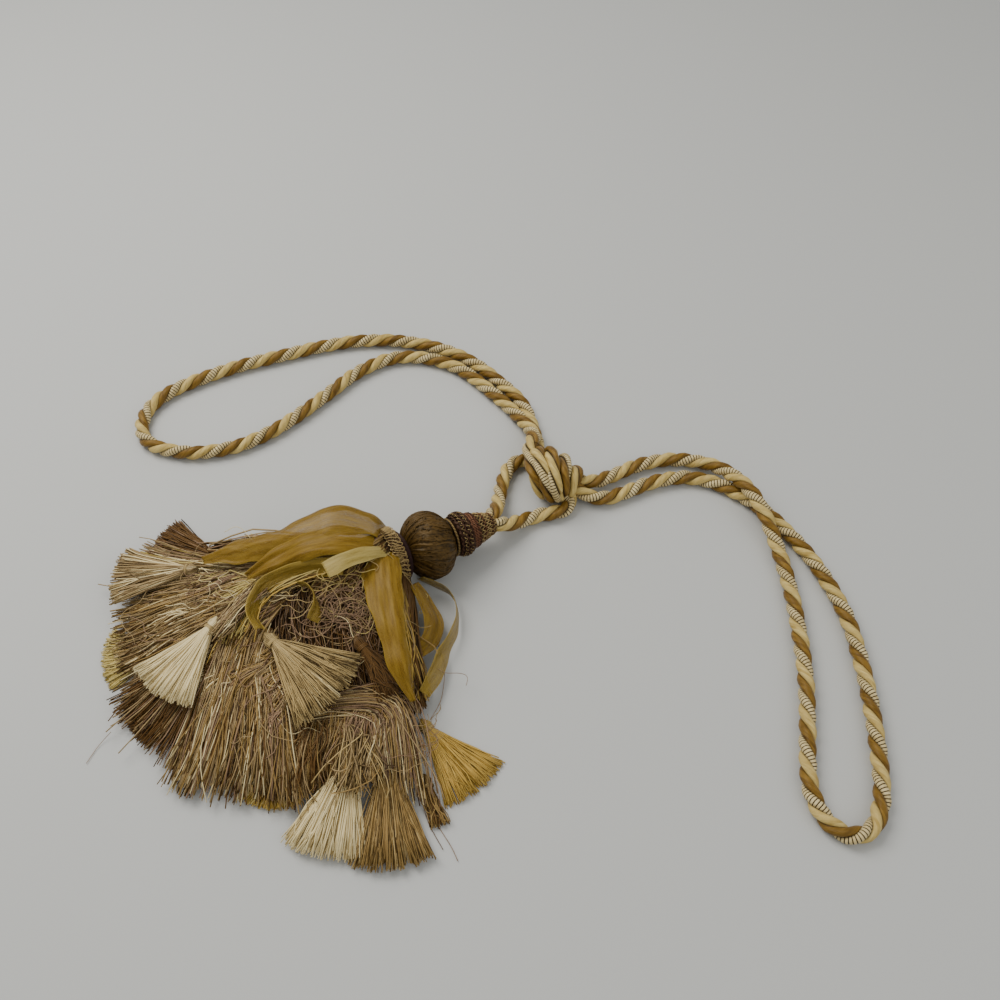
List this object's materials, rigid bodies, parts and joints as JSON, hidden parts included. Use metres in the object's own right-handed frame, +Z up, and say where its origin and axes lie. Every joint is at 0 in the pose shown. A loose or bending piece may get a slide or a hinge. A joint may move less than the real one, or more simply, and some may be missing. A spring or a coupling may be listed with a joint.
{
  "type": "curtain tieback tassel",
  "caption": "Curtain tieback: plied rope knotted into two embrace loops, with a bound neck, ball, braid collar and a skirt of yarn, fan tassels and ribbons.",
  "frame": {"origin": "on the surface it lies on, below the middle of the tassel's own box (head and skirt, without the rope)", "axes": "+Z up from the surface, +X to the right and +Y away from a viewer who faces it with the skirt to the lower left of the rope"},
  "size_m": [0.4781, 0.4055, 0.0533],
  "materials": {
    "rope": "plied satin cord, bronze, cream and striped",
    "neck_gimp": "twisted metallic gimp",
    "gold_cord": "fine twisted cord",
    "ball_thread": "satin thread wound from end to end",
    "waist_thread": "wound thread",
    "collar_braid": "looped gimp braid",
    "yarn_dark": "loose rayon thread",
    "thread_taupe": "rayon thread",
    "thread_bronze": "rayon thread",
    "thread_mauve": "rayon thread",
    "thread_brown": "rayon thread",
    "thread_gold": "rayon thread",
    "thread_cream": "rayon thread",
    "thread_champagne": "rayon thread",
    "ribbon": "amber organza",
    "ribbon_sheer": "pale sheer organza"
  },
  "bodies": {
    "root": {"rope_left_loop": "rope", "rope_right_loop": "rope", "rope_leg_upper": "rope", "rope_leg_lower": "rope", "rope_knot": "rope", "neck_binding": "neck_gimp", "gold_cord": "gold_cord", "ball": "ball_thread", "waist_band": "waist_thread", "collar_braid": "collar_braid", "skirt_yarn": "yarn_dark", "yarn_fan_back": "thread_taupe", "yarn_fan_left": "thread_taupe", "yarn_fan_middle": "thread_bronze", "yarn_fan_front": "thread_bronze", "yarn_fan_inner": "thread_taupe", "yarn_fan_right": "thread_mauve", "tassel_brown_back": "thread_brown", "tassel_gold_left": "thread_gold", "tassel_brown_left": "thread_brown", "tassel_gold_front": "thread_gold", "tassel_cream_front": "thread_cream", "tassel_bronze_front": "thread_bronze", "tassel_gold_right": "thread_gold", "tassel_thin_right": "thread_bronze", "tassel_taupe_back": "thread_taupe", "tassel_ivory": "thread_cream", "tassel_champagne": "thread_champagne", "tassel_brown_middle": "thread_brown", "yarn_tangle": "thread_mauve", "ribbon_puff_back": "ribbon", "ribbon_puff_front": "ribbon", "ribbon_sheer": "ribbon_sheer", "ribbon_arc": "ribbon", "ribbon_down": "ribbon", "ribbon_side": "ribbon", "ribbon_loop_right": "ribbon", "ribbon_curl": "ribbon"}
  },
  "joints": []
}
